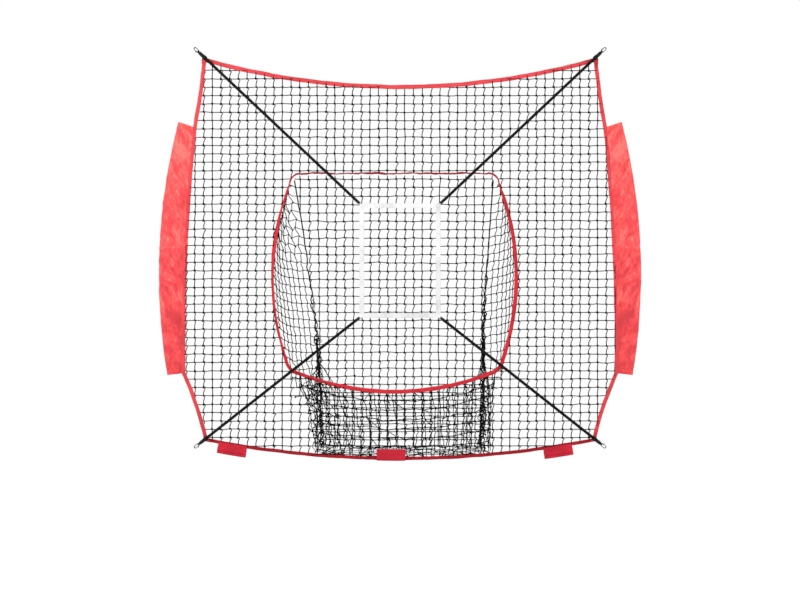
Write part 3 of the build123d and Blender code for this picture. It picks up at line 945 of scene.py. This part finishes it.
def add_low_folds(shape, side, rng):
    """The bag's slack twine, bunched into a band at each side between the rim and the hem."""
    edges = (-0.462, -0.305) if side < 0 else (0.362, 0.486)
    z = np.arange(0.64, 0.032, -0.017)
    below = fall(z, 0.52, 0.16)
    seam = gusset_point(side, np.ones_like(z), z)
    strands = []
    for k in range(10 if side < 0 else 9):
        start = rng.uniform(*edges) if k > 2 else edges[0 if side < 0 else 1] - side * 0.004 * k
        x = start + rng.uniform(-0.03, 0.03) * below + waves(rng, z, 0.012, 0.13)
        if side < 0:
            x = x - 0.080 * np.exp(-(((z - 0.40) / 0.09) ** 2)) * rng.uniform(0, 1)
        y = rng.uniform(0.014, 0.185) + waves(rng, z, 0.020, 0.2)
        x = seam[:, 0] * (1 - below) + np.clip(x, -0.570 if side < 0 else 0.350, 0.487) * below
        y = seam[:, 1] * (1 - below) + np.clip(y, 0.008, 0.205) * below
        points = np.stack([x, y, z], axis=1) + rng.normal(0, 0.0035, (len(z), 3))
        points[:, 1] = np.maximum(points[:, 1], 0.007)
        strands.append(points)
        add_tube(shape, points, TWINE * 0.72, 5)
    for _ in range(34):
        one, two = rng.choice(len(strands), 2, replace=False)
        j = rng.integers(0, len(z) - 2)
        a, b = strands[one][j], strands[two][j + rng.integers(0, 3) - (j > 0)]
        if np.linalg.norm((a - b)[[0, 2]]) < 0.055:
            middle = (a + b) / 2 + rng.normal(0, 0.006, 3)
            middle[1] = np.clip(middle[1], 0.008, 0.21)
            add_tube(shape, np.array([a, middle, b]), TWINE * 0.82, 5, (0, 0, 1))
    add_knots(shape, np.concatenate(strands)[::3], KNOT * 0.75, rng)


def make_seam_cords(side, materials):
    """The bunched twines where a gusset is sewn to the back panel."""
    name = SIDES[side]
    rng = np.random.default_rng(41 if side < 0 else 43)
    shape = Shape(f"pocket_{name}_seam_cords", [materials["twine"]])
    z = np.linspace(1.500, 0.034, 150)
    base = gusset_point(side, np.full_like(z, 1.0), z)
    along = lengths(base)
    tops = (1.50, 1.02, 0.86, 0.70) if side < 0 else (1.50, 1.32, 1.18, 0.96, 0.82)
    for k, top_z in enumerate(tops):
        wide = 0.0008 + 0.0150 * fall(z, 1.20, 0.60)
        path = base.copy()
        path[:, 0] += waves(rng, along, 1.0, 0.16, 4) * wide - 0.5 * wide * (k > 0) * side
        path[:, 1] += waves(rng, along, 1.0, 0.12, 4) * wide * 0.6
        path[:, 1] = np.clip(path[:, 1], 0.006, 0.284)
        add_tube(shape, path[z < top_z + 0.001], TWINE * (0.9 if k else 1.35), 6)
    finish_piece(shape.make(), "net")


def rim_bottom_z(x):
    half = mouth_outline()
    low = half[half[:, 1] < 0.60]
    low = low[np.argsort(low[:, 0])]
    return np.interp(x, low[:, 0], low[:, 1])


def hem_height(x):
    edge = hem_edge()
    return np.interp(x, edge[:, 0], edge[:, 1])


def make_apron(materials):
    """The pocket's low front, netting that hangs from the rim to the hem behind the panel."""
    rng = np.random.default_rng(53)
    shape = Shape("pocket_apron_netting", [materials["twine"]])
    count, rows = 20, 7
    share = np.linspace(0, 1, rows + 1)[:, None]
    left = -0.545 * (1 - share) ** 1.6 - 0.458 * (1 - (1 - share) ** 1.6)
    right = 0.515 * (1 - share) ** 1.8 + 0.484 * (1 - (1 - share) ** 1.8)
    u = np.linspace(0, 1, count)[None] + rng.normal(0, 0.0055, (1, count))
    x = left + (right - left) * u + rng.normal(0, 0.0050, (rows + 1, count))
    top, bottom = rim_bottom_z(x) - 0.014, hem_height(x) + 0.016
    z = top + (bottom - top) * share + rng.normal(0, 0.0042, x.shape)
    y = 0.012 + 0.018 * np.sin(np.pi * share) + rng.normal(0, 0.003, x.shape)
    grid = np.stack([x, np.clip(y, 0.006, 0.06), z], axis=2)
    for j in range(1, rows + 1):
        path = resample(grid[j], 0.015)
        path[:, 2] += waves(rng, lengths(path), 0.0030, 0.10)
        add_tube(shape, path, TWINE * 0.92, 5)
    for i in range(count):
        path = resample(grid[:, i], 0.013)
        path[:, 0] += waves(rng, lengths(path), 0.0050, 0.085)
        add_tube(shape, path, TWINE * 0.84, 5)
    add_knots(shape, grid[1:].reshape(-1, 3), KNOT, rng)
    # Loose diagonals where slack cells have closed up.
    for _ in range(18):
        j, i = rng.integers(0, rows), rng.integers(0, count - 1)
        a, b = grid[j, i], grid[j + 1, i + 1] if rng.random() < 0.5 else grid[j + 1, max(i - 1, 0)]
        middle = (a + b) / 2 + rng.normal(0, 0.005, 3)
        end = a + (b - a) * rng.uniform(0.45, 1)
        add_tube(shape, np.array([a, middle, end]), TWINE * 0.8, 5)
    finish_piece(shape.make(), "net", "pocket_apron")


def make_pocket_floor(materials):
    """The slack floor of the pocket, from the hem back to the foot of the back panel."""
    rng = np.random.default_rng(59)
    shape = Shape("pocket_floor_netting", [materials["twine"]])
    xs = np.linspace(-0.445, 0.455, 21)
    ys = np.linspace(0.006, 0.279, 7)
    grid = np.zeros((len(ys), len(xs), 3))
    for j, y in enumerate(ys):
        lift = waves(rng, xs, 0.011, 0.5) + rng.normal(0, 0.003, len(xs)) + 0.010
        left, right = -0.452 + 0.014 * j / 6, 0.480 - 0.026 * j / 6
        x = np.linspace(left, right, len(xs)) + rng.normal(0, 0.005, len(xs))
        z = POCKET_FLOOR_Z + np.clip(lift, -0.012, 0.03)
        grid[j] = np.stack([x, np.full(len(xs), y), z], axis=1)
    for j in range(len(ys)):
        path = resample(grid[j], 0.016)
        path[:, 2] += waves(rng, lengths(path), 0.003, 0.08)
        add_tube(shape, path, TWINE * 0.6, 5)
    for i in range(len(xs)):
        add_tube(shape, resample(grid[:, i], 0.02), TWINE * 0.6, 5, (0, 0, 1))
    add_knots(shape, grid.reshape(-1, 3), KNOT * 0.6, rng)
    finish_piece(shape.make(), "net", "pocket_floor")


# ---- bindings and rim ---------------------------------------------------------------
def make_binding(name, node, edge, seed, material, thread, width):
    rng = np.random.default_rng(seed)
    path = flat_path(resample(edge, 0.011))
    inward = inward_of(path, (0, 1.05))
    path = path + inward * width / 2
    shape = Shape(name, [material, thread])
    add_tape(
        shape, path, width, TAPE_THICKNESS, inward, rng, wobble=0.0011, flutter=0.0011, ripple=0.045
    )
    finish_piece(shape.make(), "net", node)


def make_bindings(materials):
    coral = materials["binding"], materials["coral_thread"]
    red = materials["hem"], materials["red_thread"]
    make_binding("top_binding_tape", "top_binding", top_edge(), 61, *coral, 0.023)
    make_binding("left_binding_tape", "left_binding", side_edge(-1), 62, *coral, 0.021)
    make_binding("right_binding_tape", "right_binding", side_edge(1), 63, *coral, 0.021)
    make_binding("hem_tape", "bottom_hem", hem_edge(), 64, *red, 0.0185)


def make_rim(materials):
    """The mouth's rim in four runs of one twisted tape, edge-on along the top."""
    rng = np.random.default_rng(71)
    outline = mouth_outline()
    start = int(np.argmin(np.abs(outline[:, 0] - MOUTH_X) + (outline[:, 1] < 1.4) * 9))
    outline = np.roll(outline, -start, axis=0)
    closed = np.vstack([outline, outline[:1]])
    path = flat_path(resample(closed, 0.010))
    total = lengths(path)
    outward = -inward_of(path, (MOUTH_X, 0.95))
    x, z = path[:, 0] - MOUTH_X, path[:, 2]
    # How far the tape is rolled from flat: the top is edge-on, the left side half so.
    top = 1 / (1 + np.exp(-(z - 1.44) / 0.025))
    left = (1 - top) / (1 + np.exp((x + 0.35) / 0.06))
    right = (1 - top) / (1 + np.exp(-(x - 0.35) / 0.06))
    broad = np.exp(-(((z - 1.13) / 0.10) ** 2))
    roll_left = 52 - 34 * broad - 14 * fall(z, 0.72, 0.25)
    roll_right = 34 - 16 * fall(z, 1.25, 0.3)
    low = 1 - top - left - right
    roll = np.radians(67 * top + roll_left * left + roll_right * right + 12 * low)
    roll = roll + np.radians(waves(rng, total, 11, 0.4))
    face = np.array([0, 1.0, 0])
    across = outward * np.cos(roll)[:, None] + face * np.sin(roll)[:, None]
    middle = path + outward * 0.008
    middle[:, 2] += waves(rng, total, 0.0035, 0.28) * top
    middle[:, 1] -= 0.002
    wedge = np.degrees(np.arctan2(z - 0.95, x))
    corners = {
        "rim_top": (wedge > 44) & (wedge < 136),
        "rim_right": (wedge > -45) & (wedge < 47),
        "rim_bottom": (wedge > -137) & (wedge < -43),
        "rim_left": (wedge > 133) | (wedge < -135),
    }
    for seed, (name, chosen) in enumerate(corners.items(), 72):
        run = np.flatnonzero(chosen)
        gap = np.flatnonzero(np.diff(run) > 1)
        if len(gap):
            run = np.concatenate([run[gap[0] + 1:-1], run[:gap[0] + 1]])
        # The edge-on top run takes the darker hem tape's colour as painted shade.
        look = materials["hem" if name == "rim_top" else "rim"]
        shape = Shape(f"{name}_tape", [look, materials["red_thread"]])
        add_tape(
            shape, middle[run], RIM_WIDTH, TAPE_THICKNESS, across[run], np.random.default_rng(seed),
            wobble=0.0006, flutter=0.0008, ripple=0.03,
        )
        finish_piece(shape.make(), "net", name)


# ---- pole sleeves -------------------------------------------------------------------
def apply_modifiers(piece):
    """Turns a piece's modifiers into plain mesh."""
    depsgraph = bpy.context.evaluated_depsgraph_get()
    bpy.context.view_layer.update()
    final = bpy.data.meshes.new_from_object(piece.evaluated_get(depsgraph), depsgraph=depsgraph)
    piece.modifiers.clear()
    piece.data = final


def thicken(piece, thickness):
    """Gives a sheet of cloth its thickness, half to each side."""
    solid = piece.modifiers.new("cloth_thickness", "SOLIDIFY")
    solid.thickness = thickness
    solid.offset = 0
    apply_modifiers(piece)
    return piece


def sewn_piece(piece):
    """Bakes a cloth piece's placement into its mesh."""
    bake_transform(piece)


def evenly(line, shares):
    """A plane line's points at these shares of its count of points."""
    at = np.linspace(0, 1, len(line))
    return np.stack([np.interp(shares, at, line[:, k]) for k in (0, 1)], axis=1)


def creases(rng, count):
    """Random creases on a sleeve: a function of the place across and along it, in metres."""
    made = []
    for _ in range(count):
        centre = np.array([rng.uniform(0, SLEEVE_CREASED_WIDTH), rng.uniform(0, SLEEVE_LENGTH)])
        ways = [rng.uniform(0.5, 1.1), rng.uniform(-1.1, -0.5), rng.uniform(-0.25, 0.25)]
        slant = rng.choice(ways)
        made.append(
            (centre, slant, rng.uniform(0.03, 0.11), rng.uniform(0.006, 0.014), rng.uniform(-1, 1))
        )

    def depth(u, v):
        total = np.zeros_like(u)
        for centre, slant, length, thick, tall in made:
            du, dv = u - centre[0], v - centre[1]
            c, s = math.cos(slant), math.sin(slant)
            along, across = c * du + s * dv, -s * du + c * dv
            total += tall * np.exp(-((along / length) ** 2) - np.abs(across) / thick)
        return total

    return depth


def make_sleeve(side, materials):
    """A flat sleeve of thin cloth, folded at its outer edge and sewn to the net at its seam."""
    name = SIDES[side]
    rng = np.random.default_rng(81 if side < 0 else 83)
    shape = Shape(f"{name}_sleeve_cloth", [materials["sleeve"], materials["coral_thread"]])
    rows, columns = 340, 38
    v = np.linspace(0, 1, rows)
    seam = evenly(resample(arc(SEAM_TOP, SEAM_MIDDLE, SEAM_BOTTOM, 60), 0.002), v) + (-0.004, 0)
    outer = evenly(resample(arc(SLEEVE_TOP, SLEEVE_MIDDLE, SLEEVE_BOTTOM, 60), 0.002), v)
    share = np.linspace(0, 1, columns)
    share = 0.5 * share + 0.5 * np.sin(share * np.pi / 2)
    wide = np.linalg.norm(outer - seam, axis=1)
    flat = seam[:, None] + (outer - seam)[:, None] * share[None, :, None]
    u = wide[:, None] * share[None]
    height = v[:, None] * SLEEVE_LENGTH + 0 * u
    fold, slow = creases(rng, 120), creases(rng, 46)
    flap = fold(u, height) * 0.0044 + slow(u * 0.6, height) * 0.0060
    edge_calm = np.clip(u / 0.022, 0, 1) * np.clip((wide[:, None] - u) / 0.012, 0.25, 1)
    puff = 0.0062 * rise(u, 0.010, 0.020) * np.sqrt(np.clip(1 - share[None] ** 6, 0, 1))
    rear_flap = creases(rng, 90)(u, height) * 0.003
    front_y = -0.0012 - puff + flap * edge_calm
    rear_y = 0.0012 + puff + (flap * 0.4 + rear_flap) * edge_calm
    rear_y = np.maximum(rear_y, front_y + 0.0016)
    x = flat[:, :, 0] + 0.0015 * fold(u * 0.5, height)
    front = np.stack([side * x, front_y, flat[:, :, 1]], axis=2)
    rear = np.stack([side * x, rear_y, flat[:, :, 1]], axis=2)[:, ::-1]
    cloth = np.concatenate([front, rear[:, 1:]], axis=1)
    across = np.concatenate([u, 2 * wide[:, None] - u[:, ::-1][:, 1:]], axis=1)
    uvs = np.stack([across, np.broadcast_to(height[:, :1], across.shape)], axis=2)
    faces = grid_faces(rows, cloth.shape[1])
    shape.add(cloth, faces if side > 0 else faces[:, ::-1], uvs.reshape(-1, 2))
    body = thicken(shape.make(), SLEEVE_CLOTH)
    parts = ("seam", "neck", "front", "rear", "fold")
    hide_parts(*[f"{name}_sleeve_{part}" for part in parts])
    sewn_piece(body)
    # Stitches: one row down the seam on each face, and one round each open end.
    trim = Shape(f"{name}_sleeve_stitching", [materials["coral_thread"]])
    line = seam + (outer - seam) * (0.0125 / wide)[:, None]
    for face in (-1, 1):
        row = flat_path(line * (side, 1), face * 0.0022)
        add_stitches(trim, row, (0, face, 0), (1, 0, 0), SEAM_STITCH, 0, rng, 0.0)
    for inside in (3, rows - 4):
        for surface, face in ((front, -1), (rear[:, ::-1], 1)):
            row = resample(surface[inside], 0.006)
            add_stitches(trim, row, (0, face, 0), (0, 0, 1), SLEEVE_END_STITCH, 0, rng, 0.0006)
    sewn_piece(trim.make())


# ---- base loops ---------------------------------------------------------------------
def base_loop_profile(folded):
    """The loop's cross-section as (y, height) from its hinge: sewn tails, neck and pouch."""
    if folded:
        return np.array([
            (0.0032, 0.016), (0.0030, 0.004), (0.0015, -0.0015), (-0.004, -0.0028),
            (-0.0085, 0.0005), (-0.0135, 0.010), (-0.0140, 0.024), (-0.0142, 0.042),
            (-0.0132, 0.057), (-0.0090, 0.0600), (-0.0052, 0.056), (-0.0042, 0.040),
            (-0.0044, 0.022), (-0.0050, 0.010), (-0.0046, 0.005),
        ])
    return np.array([
        (-0.0032, 0.0130), (-0.0034, 0.0060), (-0.0024, -0.0015), (-0.0034, -0.0070),
        (-0.0074, -0.0140), (-0.0096, -0.0230), (-0.0090, -0.0300), (-0.0056, -0.0330),
        (-0.0080, -0.0358), (-0.0084, -0.0420), (-0.0048, -0.0468), (0.0, -0.0478),
        (0.0052, -0.0466), (0.0090, -0.0395), (0.0097, -0.0285), (0.0074, -0.0155),
        (0.0034, -0.0070), (0.0024, -0.0015), (0.0034, 0.0060), (0.0032, 0.0130),
    ])


def make_base_loop(name, materials):
    """A wide loop of cloth sewn over the hem."""
    joint = next(j for j in frame["joints"] if j["name"] == f"base_loop_{name}_swing")
    pivot, along = np.array(joint["pos_m"]), np.array(joint["axis"])
    folded = name == "centre"
    rng = np.random.default_rng({"left": 91, "centre": 92, "right": 93}[name])
    profile = base_loop_profile(folded) + (FOLDED_LOOP_BACK if folded else 0, 0)
    smooth = smooth_line(profile, 64)
    up = np.cross(along, (0, 1.0, 0)) * -1
    up = up if up[2] > 0 else -up
    across = np.linspace(-LOOP_LENGTH / 2, LOOP_LENGTH / 2, 46)
    around = lengths(smooth)
    points = np.zeros((len(smooth), len(across), 3))
    edge = np.abs(across) / (LOOP_LENGTH / 2)
    for k, (y, h) in enumerate(smooth):
        ripple = waves(rng, across, 0.0007, 0.06)
        points[k] = pivot + along * across[:, None] + up * h
        points[k, :, 1] += y + ripple * np.clip(abs(h) / 0.02, 0, 1)
        points[k] += up * (0.0012 * edge**3 * np.sign(-h))[:, None]
    size = points.shape[:2]
    shape = Shape(f"base_loop_{name}_cloth", [materials["loop"], materials["red_thread"]])
    shape.add(points, grid_faces(*size), grid_uvs(across, around, size))
    piece = thicken(shape.make(), LOOP_CLOTH)
    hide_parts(f"base_loop_{name}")
    sewn_piece(piece)
    # Rows of stitches hold the loop to the hem and close the neck of a hanging one.
    trim = Shape(f"base_loop_{name}_stitching", [materials["red_thread"]])
    for h in (0.0105,) if folded else (-0.0072, 0.0095):
        front = smooth[:14][::-1]
        row = pivot + along * (across * 0.95)[:, None] + up * h
        row[:, 1] += -0.0030 - pivot[1] if folded else np.interp(h, front[:, 1], front[:, 0])
        add_stitches(trim, row, (0, -1, 0), up, LOOP_STITCH, 0, rng, 0.0006)
    sewn_piece(trim.make())


def smooth_line(points, count):
    """A Catmull-Rom line through points."""
    points = np.asarray(points, float)
    padded = np.vstack([2 * points[0] - points[1], points, 2 * points[-1] - points[-2]])
    spans = len(points) - 1
    made = []
    for value in np.linspace(0, spans, count):
        k = min(int(value), spans - 1)
        t = value - k
        a, b, c, d = padded[k:k + 4]
        square, cube = 2 * a - 5 * b + 4 * c - d, 3 * b - a - 3 * c + d
        made.append(0.5 * ((2 * b) + (c - a) * t + square * t**2 + cube * t**3))
    return np.array(made)


# ---- strike-zone target -------------------------------------------------------------
def make_target(materials):
    """Four white webbing bands, lapped and box-stitched at the corners."""
    half, high, low = TARGET_HALF_WIDTH, TARGET_HIGH_Z, TARGET_LOW_Z
    offset = BAND_WIDTH / 2
    before, behind = TARGET_Y - LAP_STEP, TARGET_Y + LAP_STEP
    runs = {
        "target_top": ((-half, high - offset), (half, high - offset), before),
        "target_bottom": ((-half, low + offset), (half, low + offset), before),
        "target_left": ((-half + offset, high), (-half + offset, low), behind),
        "target_right": ((half - offset, high), (half - offset, low), behind),
    }
    for seed, (name, (a, b, y)) in enumerate(runs.items(), 101):
        path = flat_path(resample(np.array([a, b]), 0.008), y)
        across = np.tile([0, 0, 1.0] if a[1] == b[1] else [1.0, 0, 0], (len(path), 1))
        shape = Shape(f"{name}_webbing", [materials["white"], materials["white_thread"]])
        add_tape(
            shape, path, BAND_WIDTH, BAND_THICKNESS, across, np.random.default_rng(seed),
            wobble=0.0005, flutter=0.0003, ripple=0.01, stitch_rows=(0.8, -0.8),
        )
        finish_piece(shape.make(), "strike_zone", name)
    # A square of stitches with a cross in it at each lap.
    rng = np.random.default_rng(109)
    trim = Shape("target_corner_stitching", [materials["white_thread"]])
    inset = 0.0035
    for sx in (-1, 1):
        for z0 in (high - offset, low + offset):
            x0, r = sx * (half - offset), offset - inset
            corners = [(x0 - r, z0 - r), (x0 + r, z0 - r), (x0 + r, z0 + r), (x0 - r, z0 + r)]
            lines = [(corners[k], corners[(k + 1) % 4]) for k in range(4)]
            lines += [(corners[0], corners[2]), (corners[1], corners[3])]
            for a, b in lines:
                row = flat_path(resample(np.array([a, b]), 0.004), before)
                add_stitches(trim, row, (0, -1, 0), (1, 0, 0), TARGET_STITCH, 0, rng, 0.0008)
    finish_piece(trim.make(), "strike_zone")


# ---- bungee cords and corner hardware -----------------------------------------------
CORNERS = {
    "top_left": (-1, 1.366, (1.099, 2.204), NET_TOP_CORNER),
    "top_right": (1, 1.366, (1.099, 2.204), NET_TOP_CORNER),
    "bottom_left": (-1, 0.770, (1.095, 0.072), NET_BOTTOM_CORNER),
    "bottom_right": (1, 0.770, (1.095, 0.072), NET_BOTTOM_CORNER),
}


def corner_line(name):
    """The start of a corner's cord, its direction, and the point nearest the net's corner."""
    side, inner_z, tip, net_corner = CORNERS[name]
    inner = np.array([side * CORD_INNER_X, CORD_Y, inner_z])
    outward = unit(np.array([side * tip[0], CORD_Y, tip[1]]) - inner)
    reach = float(np.dot(np.array([side * net_corner[0], CORD_Y, net_corner[1]]) - inner, outward))
    return inner, outward, inner + outward * reach


def make_bungee(name, materials):
    inner, outward, zero = corner_line(name)
    end = zero + outward * CORD_PAST_CORNER
    length = float(np.linalg.norm(end - inner))
    along = np.linspace(0, length, 160)
    points = inner + outward * along[:, None]
    free = np.clip(np.minimum(along - 0.016, length - along - 0.015) / 0.012, 0, 1)
    radius = CORD_END_RADIUS + (CORD_RADIUS - CORD_END_RADIUS) * free
    shape = Shape(f"bungee_{name}_cord", [materials["bungee"]])
    add_tube(shape, points, radius, 20)
    cord = shape.make()
    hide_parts(f"bungee_{name}")
    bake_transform(cord)


def make_cord_stops(materials):
    """A knot on each cord's inner end, behind the target's corner, and its whipping."""
    shape = Shape("bungee_inner_knots", [materials["bungee"], materials["black_thread"]])
    for name in CORNERS:
        inner, outward, _ = corner_line(name)
        turn = np.linspace(0, 2 * np.pi * 1.5, 30)
        side = np.cross(outward, (0, 1.0, 0))
        loop = (
            inner + np.array([0, 0.004, 0])
            + outward * (0.006 * np.cos(turn))[:, None]
            + side * (0.006 * np.sin(turn))[:, None]
            + np.array([0, 1.0, 0]) * (0.006 * turn / turn[-1])[:, None]
        )
        add_tube(shape, loop, 0.0045, 10)
        for k in range(5):
            ring = inner + outward * (0.016 + k * 0.0022)
            angle = np.linspace(0, 2 * np.pi, 25)
            circle = ring + (
                side * np.cos(angle)[:, None] + np.array([0, 1.0, 0]) * np.sin(angle)[:, None]
            ) * (CORD_END_RADIUS + 0.0006)
            add_tube(shape, circle, 0.0011, 6, tuple(outward), 1, ends=False)
    finish_piece(shape.make(), "strike_zone")


def paint(piece, material):
    piece.data.materials.clear()
    piece.data.materials.append(material)


def make_corner_cloth(materials):
    """The red patch over each corner of the binding, and the black strap that keeps the cord."""
    for node, material, slot_name in (
        ("corner_patches", materials["binding"], "red_tape"),
        ("corner_straps", materials["black_webbing"], "black_webbing"),
    ):
        cad = frame["nodes"][node]
        copy = bpy.data.objects.new(f"{node}_cloth", cad.data.copy())
        bpy.context.scene.collection.objects.link(copy)
        paint(copy, material)
        bevel = copy.modifiers.new("soft_edges", "BEVEL")
        bevel.width = 0.0005
        bevel.segments = 3
        bevel.limit_method = "ANGLE"
        apply_modifiers(copy)
        finish_piece(copy, "net", node)


def paint_hardware(materials):
    """Materials for the CAD pieces that stay. The gates' look covers their pins as well."""
    looks = {"hook": "hook", "gate": "steel", "swivel_post": "steel", "cord_clip": "clip"}
    for node, piece in frame["nodes"].items():
        for start, look in looks.items():
            if node.startswith(start):
                paint(piece, materials[look])


# ---- the whole net ------------------------------------------------------------------
make_camera()
made_materials = make_materials()
for corner_name in CORNERS:
    make_bungee(corner_name, made_materials)
make_studio()
make_cord_stops(made_materials)
make_corner_cloth(made_materials)
paint_hardware(made_materials)
make_target(made_materials)
make_net_panel(made_materials)
make_pocket_back(made_materials)
make_pocket_floor(made_materials)
make_apron(made_materials)
for which_side in (-1, 1):
    make_gusset(which_side, made_materials)
    make_seam_cords(which_side, made_materials)
    make_sleeve(which_side, made_materials)
make_bindings(made_materials)
make_rim(made_materials)
for loop_name in ("left", "centre", "right"):
    make_base_loop(loop_name, made_materials)
